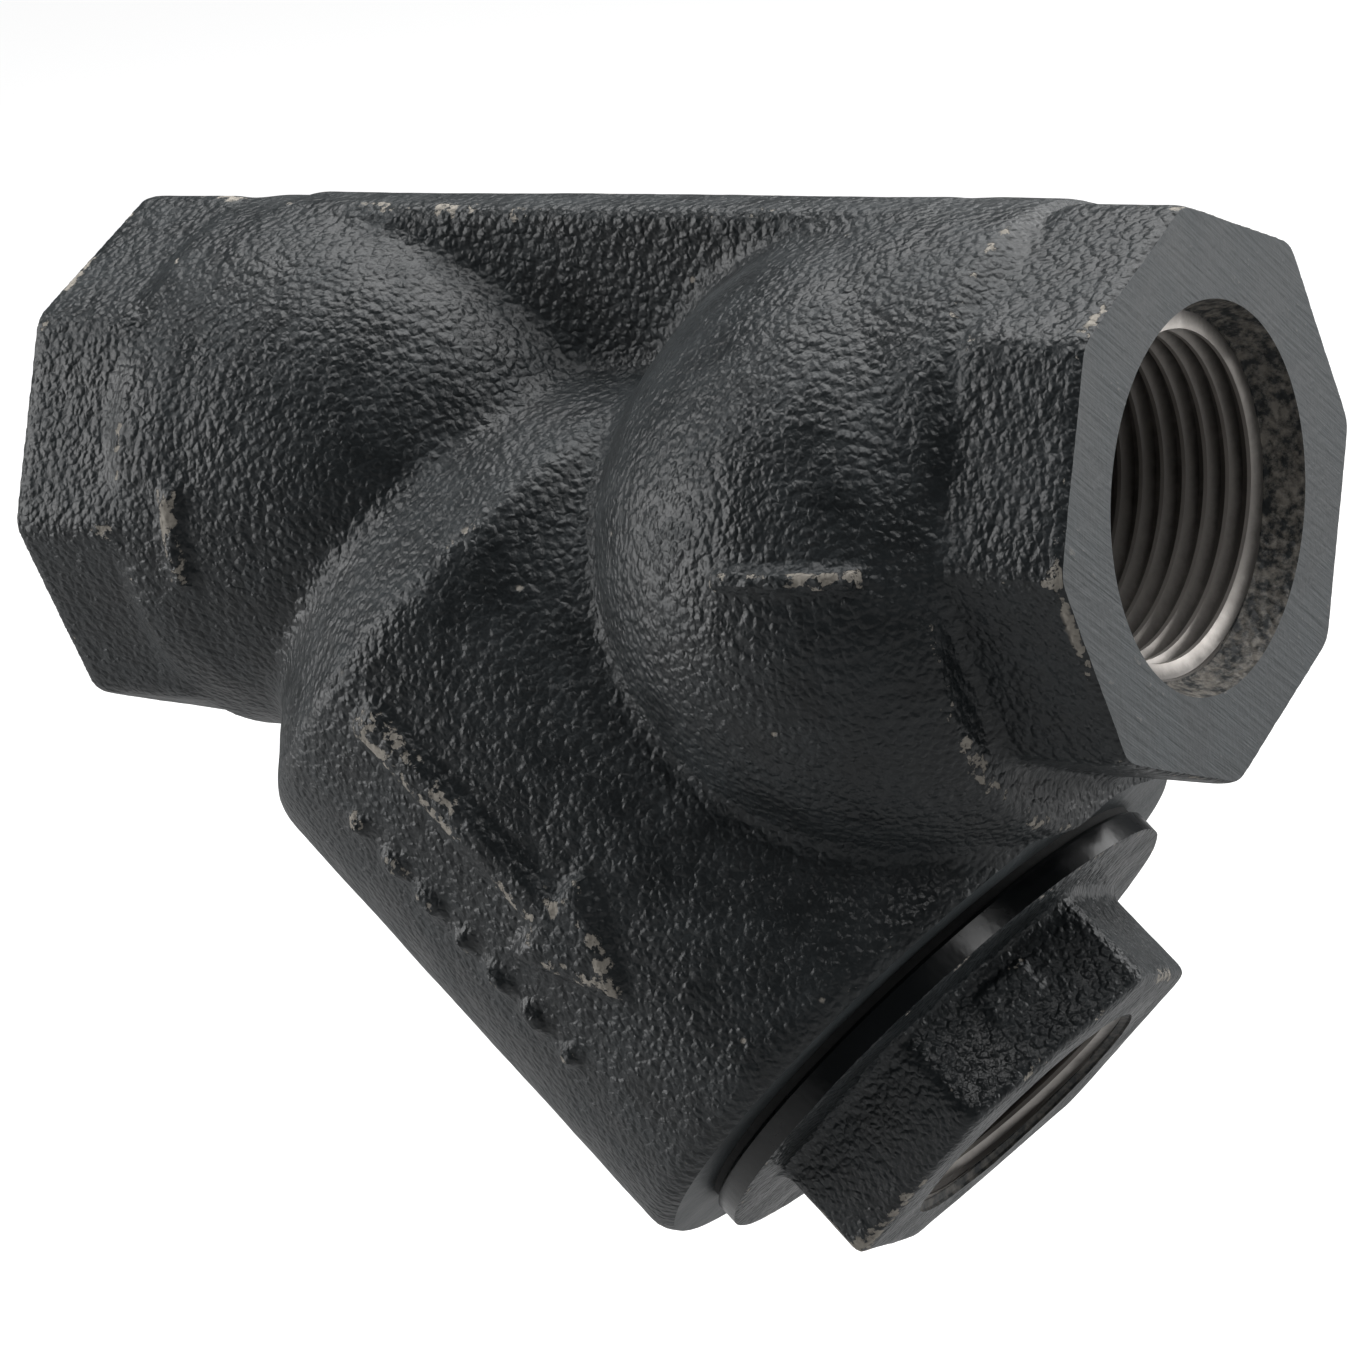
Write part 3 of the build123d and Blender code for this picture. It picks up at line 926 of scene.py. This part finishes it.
def cap_blank(sizes):
    """The cast end of the cap: hexagon, collar front and one small raised pad."""
    collar_front = COLLAR_BACK + sizes.collar_thickness
    hexagon = polygon_prism("hexagon", 6, sizes.hex_flats, collar_front - 1.2 * MM, HEX_FACE + 0.15 * MM,
                            math.radians(CAP_TURNED - 30), 0.7 * MM, 0.6 * MM)
    flat = math.radians(CAP_TURNED + 30)
    deselect()
    reach = sizes.hex_flats / 2
    place = (reach * math.cos(flat), reach * math.sin(flat), collar_front + 3.0 * MM)
    bpy.ops.mesh.primitive_cube_add(size=1, location=place, scale=(0.9 * MM, 4.6 * MM, 2.6 * MM),
                                    rotation=(0, 0, flat))
    pad = apply_place(name_new("pad"))
    collar = turned("collar", [(COLLAR_BACK - 0.8 * MM, 22.6 * MM), (collar_front - 0.3 * MM, 22.6 * MM),
                               (collar_front, 22.2 * MM)])
    skin = 0.34 * MM
    blank = fill_creases(join("cap_blank", [hexagon, collar]), skin, 2, 8)
    return cast_skin(join("retainer_cap_casting", [blank, pad]), skin, 1, 0.04 * MM)


class STRAINER_OT_cap(bpy.types.Operator):
    """Make the retainer cap, its thread and the tapped blow-off"""

    bl_idname = "strainer.cap"
    bl_label = "Make Cap"

    def execute(self, context):
        sizes = context.scene.strainer_sizes
        cap = cap_blank(sizes)
        cap.data.materials.clear()
        cap.data.materials.append(finish_named("cap_paint"))
        envelope = turned("envelope", [(COLLAR_BACK, sizes.collar_radius - 0.3 * MM),
                                       (COLLAR_BACK + 0.3 * MM, sizes.collar_radius),
                                       (HEX_FACE + 2 * MM, sizes.collar_radius)], 160)
        envelope.data.materials.append(finish_named("turned_paint"))
        combine(cap, envelope, "INTERSECT")
        core = 17.95 * MM
        shank = turned("shank", [(COLLAR_BACK - 10.6 * MM, 17.6 * MM), (COLLAR_BACK - 10.3 * MM, core),
                                 (COLLAR_BACK - 1.6 * MM, core), (COLLAR_BACK + 0.6 * MM, core)], 160)
        shank.data.materials.append(finish_named("thread_iron"))
        combine(cap, shank, "UNION")
        socket_floor = COLLAR_BACK - 2.9 * MM
        socket = 14.95 * MM
        tapped = HEX_FACE - 11 * MM
        bore = [(COLLAR_BACK - 12 * MM, socket), (socket_floor, socket), (socket_floor, 9 * MM),
                (tapped, 9 * MM), (tapped, 10.6 * MM), (HEX_FACE - 0.5 * MM, 10.6 * MM),
                (HEX_FACE - 0.1 * MM, 11.0 * MM), (HEX_FACE + 1.5 * MM, 11.1 * MM)]
        cutter = turned("bore_cutter", bore, 128)
        cutter.data.materials.append(finish_named("bore_iron"))
        combine(cap, cutter, "DIFFERENCE")
        lay_along(cap, BRANCH_ROOT, BRANCH)
        smooth_faces(cap)
        dress(cap, "cap", "cap_casting")
        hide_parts("retainer_cap")
        shank_thread = thread_sleeve("cap_shank_thread", sizes.pitch, 18.14 * MM, 18.76 * MM, 17.9 * MM,
                                     COLLAR_BACK - 10.4 * MM, COLLAR_BACK - 1.6 * MM)
        blow_off = thread_sleeve("blow_off_thread", sizes.pitch, BLOW_OFF_RADIUS + 0.5 * MM,
                                 BLOW_OFF_RADIUS - 0.45 * MM, BLOW_OFF_RADIUS + 0.66 * MM,
                                 HEX_FACE - 10.95 * MM, HEX_FACE - 0.6 * MM)
        for sleeve in (shank_thread, blow_off):
            lay_along(sleeve, BRANCH_ROOT, BRANCH)
            shade_thread(sleeve, "cap", "cap_casting")
        return {"FINISHED"}


# ---------------------------------------------------------------- screen and gasket

def perforated_sheet(sizes, start, end, margin, around):
    """The rolled sheet: staggered round holes, plain margins, and a lap one and a half holes wide."""
    hole = sizes.hole_radius
    pitch = math.tau * sizes.screen_radius / around
    rows = round((end - start - 2 * margin) / (pitch * math.sin(math.radians(60))))
    rise = (end - start - 2 * margin) / rows
    columns = around + 2
    square = ((-1, -1), (0, -1), (1, -1), (1, 0), (1, 1), (0, 1), (-1, 1), (-1, 0))
    points, faces = [], []

    def face(corners):
        first = len(points)
        points.extend(corners)
        faces.append(tuple(range(first, first + len(corners))))

    def strip(left, low, height):
        right = left + pitch / 2
        face([(left, low), (right, low), (right, low + height), (left, low + height)])

    for row in range(rows):
        middle = start + margin + (row + 0.5) * rise
        shift = 0.5 * (row % 2)
        for column in range(columns - row % 2):
            centre = (column + 0.5 + shift) * pitch
            outer = [(centre + a * pitch / 2, middle + b * rise / 2) for a, b in square]
            angles = [math.atan2(b, a) for a, b in square]
            inner = [(centre + hole * math.cos(angle), middle + hole * math.sin(angle)) for angle in angles]
            for i in range(8):
                j = (i + 1) % 8
                face([outer[i], outer[j], inner[j], inner[i]])
        if row % 2:
            for left in (0, (columns - 0.5) * pitch):
                for low in (middle - rise / 2, middle):
                    strip(left, low, rise / 2)
    for low in (start, end - margin):
        for half in range(2 * around):
            strip(half * pitch / 2, low, margin)
    return points, faces, pitch


class STRAINER_OT_screen(bpy.types.Operator):
    """Roll the perforated screen and finish its bands and the gasket"""

    bl_idname = "strainer.screen"
    bl_label = "Roll Screen"

    def execute(self, context):
        sizes = context.scene.strainer_sizes
        low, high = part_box("screen_sheet")
        span = (high.x - low.x) - math.sqrt(2) * sizes.screen_radius
        middle = along_branch((low + high) / 2)
        half = span * math.sqrt(2) / 2
        flat, faces, pitch = perforated_sheet(sizes, middle - half, middle + half, 4 * MM, 36)
        begin = math.radians(80)
        middle_radius = sizes.screen_radius - sizes.screen_gauge / 2
        rolled = []
        for u, s in flat:
            lap = min(1, max(0, (u - 35.6 * pitch) / (0.6 * pitch)))
            around = begin + u / sizes.screen_radius
            radius = middle_radius + lap * (sizes.screen_gauge + 0.02 * MM)
            rolled.append((radius * math.cos(around), radius * math.sin(around), s))
        mesh = bpy.data.meshes.new("screen_mesh")
        mesh.from_pydata(rolled, [], faces)
        sheet = bpy.data.objects.new("screen_mesh", mesh)
        bpy.context.scene.collection.objects.link(sheet)
        outward(sheet)
        modifier(sheet, "SOLIDIFY", thickness=sizes.screen_gauge, offset=0)
        lay_along(sheet, BRANCH_ROOT, BRANCH)
        smooth_faces(sheet, 40)
        dress(sheet, "screen", "stainless_screen", finish_named("screen_steel"))
        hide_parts("screen_sheet")
        for node, finish in (("screen_upper_band", "band_steel"), ("screen_lower_band", "band_steel"),
                             ("cap_gasket", "gasket_fibre")):
            NODES[node].data.materials.clear()
            NODES[node].data.materials.append(finish_named(finish))
        return {"FINISHED"}


# ---------------------------------------------------------------- stage

CAMERA_PLACE = Vector((289.944, -342.392, 102.275)) * MM
CAMERA_AZIMUTH, CAMERA_ELEVATION, CAMERA_ROLL = 35.65, 15.696, -7.183  # degrees
FLOOR_DROP = 0.11


def softbox(name, place, target, size, power):
    lamp = bpy.data.lights.new(name, "AREA")
    lamp.shape = "RECTANGLE"
    lamp.size, lamp.size_y = size
    lamp.energy = power
    piece = bpy.data.objects.new(name, lamp)
    piece.location = place
    piece.rotation_euler = (Vector(target) - Vector(place)).to_track_quat("-Z", "Y").to_euler()
    bpy.context.scene.collection.objects.link(piece)


def camera_axes(azimuth, elevation, roll):
    """Right, up and back directions of a camera that looks along +Y at azimuth 0."""
    level = Vector((math.cos(azimuth), math.sin(azimuth), 0))
    flat = math.cos(elevation)
    back = Vector((math.sin(azimuth) * flat, -math.cos(azimuth) * flat, math.sin(elevation)))
    upright = back.cross(level)
    right = level * math.cos(roll) + upright * math.sin(roll)
    up = upright * math.cos(roll) - level * math.sin(roll)
    return right, up, back


class STRAINER_OT_stage(bpy.types.Operator):
    """Set up the floor, the studio lights and the camera"""

    bl_idname = "strainer.stage"
    bl_label = "Set Stage"

    def execute(self, context):
        scene = context.scene
        deselect()
        bpy.ops.mesh.primitive_plane_add(size=8, location=(0, 0, CAD_BOX[0][2] - FLOOR_DROP))
        floor = name_new("studio_floor")
        material, tree, shader = start_material("studio_floor", (0.9, 0.9, 0.9))[:3]
        shader.inputs["Base Color"].default_value = (0.36, 0.36, 0.36, 1)
        shader.inputs["Roughness"].default_value = 0.9
        shader.inputs["Emission Color"].default_value = (1, 1, 1, 1)
        seen = tree.nodes.new("ShaderNodeLightPath").outputs["Is Camera Ray"]
        tree.links.new(math_node(tree, "MULTIPLY", seen, 0.9), shader.inputs["Emission Strength"])
        floor.data.materials.append(material)
        world = bpy.data.worlds.new("studio")
        world.use_nodes = True
        world.node_tree.nodes["Background"].inputs[0].default_value = (0.9, 0.95, 1, 1)
        world.node_tree.nodes["Background"].inputs[1].default_value = 0.05
        scene.world = world
        middle = (Vector(CAD_BOX[0]) + Vector(CAD_BOX[1])) / 2
        turns = (CAMERA_AZIMUTH, CAMERA_ELEVATION, CAMERA_ROLL)
        right, up, back = camera_axes(*(math.radians(turn) for turn in turns))
        softbox("top_light", middle + Vector((-0.05, 0.25, 0.8)), middle, (1.0, 0.7), 8)
        softbox("back_light", middle + Vector((0.1, 0.85, 0.55)), middle, (1.0, 0.45), 4)
        softbox("front_light", middle + Vector((0.48, -0.17, 0.66)), middle, (0.35, 0.35), 1.3)
        softbox("left_light", middle - 0.85 * right + 0.12 * up - 0.1 * back, middle, (0.5, 0.8), 5.0)
        softbox("right_light", middle + 0.85 * right + 0.15 * up - 0.15 * back, middle, (0.5, 0.8), 4.3)
        lens = bpy.data.cameras.new("studio_camera")
        lens.sensor_width = 36
        lens.lens = 148.5
        lens.shift_x = -0.004657
        lens.shift_y = -0.00536
        lens.clip_start = 0.01
        camera = bpy.data.objects.new("studio_camera", lens)
        place = Matrix((right, up, back)).transposed().to_4x4()
        place.translation = CAMERA_PLACE
        camera.matrix_world = place
        scene.collection.objects.link(camera)
        scene.camera = camera
        scene.view_settings.view_transform = "Standard"
        return {"FINISHED"}


class STRAINER_PT_panel(bpy.types.Panel):
    """Builds the strainer step by step"""

    bl_idname = "STRAINER_PT_panel"
    bl_label = "Y Strainer"
    bl_space_type = "VIEW_3D"
    bl_region_type = "UI"
    bl_category = "Strainer"

    def draw(self, context):
        for group in (context.scene.strainer_sizes, context.scene.strainer_colours):
            for name in group.bl_rna.properties.keys():
                if name not in ("rna_type", "name"):
                    self.layout.prop(group, name)
        for step in STEPS:
            self.layout.operator(step.bl_idname)


STEPS = (STRAINER_OT_materials, STRAINER_OT_body, STRAINER_OT_cap, STRAINER_OT_screen, STRAINER_OT_stage)
CLASSES = (StrainerSizes, StrainerColours, *STEPS, STRAINER_PT_panel)


def register():
    for item in CLASSES:
        bpy.utils.register_class(item)
    bpy.types.Scene.strainer_sizes = bpy.props.PointerProperty(type=StrainerSizes)
    bpy.types.Scene.strainer_colours = bpy.props.PointerProperty(type=StrainerColours)


def unregister():
    del bpy.types.Scene.strainer_colours
    del bpy.types.Scene.strainer_sizes
    for item in reversed(CLASSES):
        bpy.utils.unregister_class(item)


def main():
    register()
    bpy.ops.strainer.materials()
    bpy.ops.strainer.body()
    bpy.ops.strainer.cap()
    bpy.ops.strainer.screen()
    bpy.ops.strainer.stage()


if __name__ == "__main__":
    main()
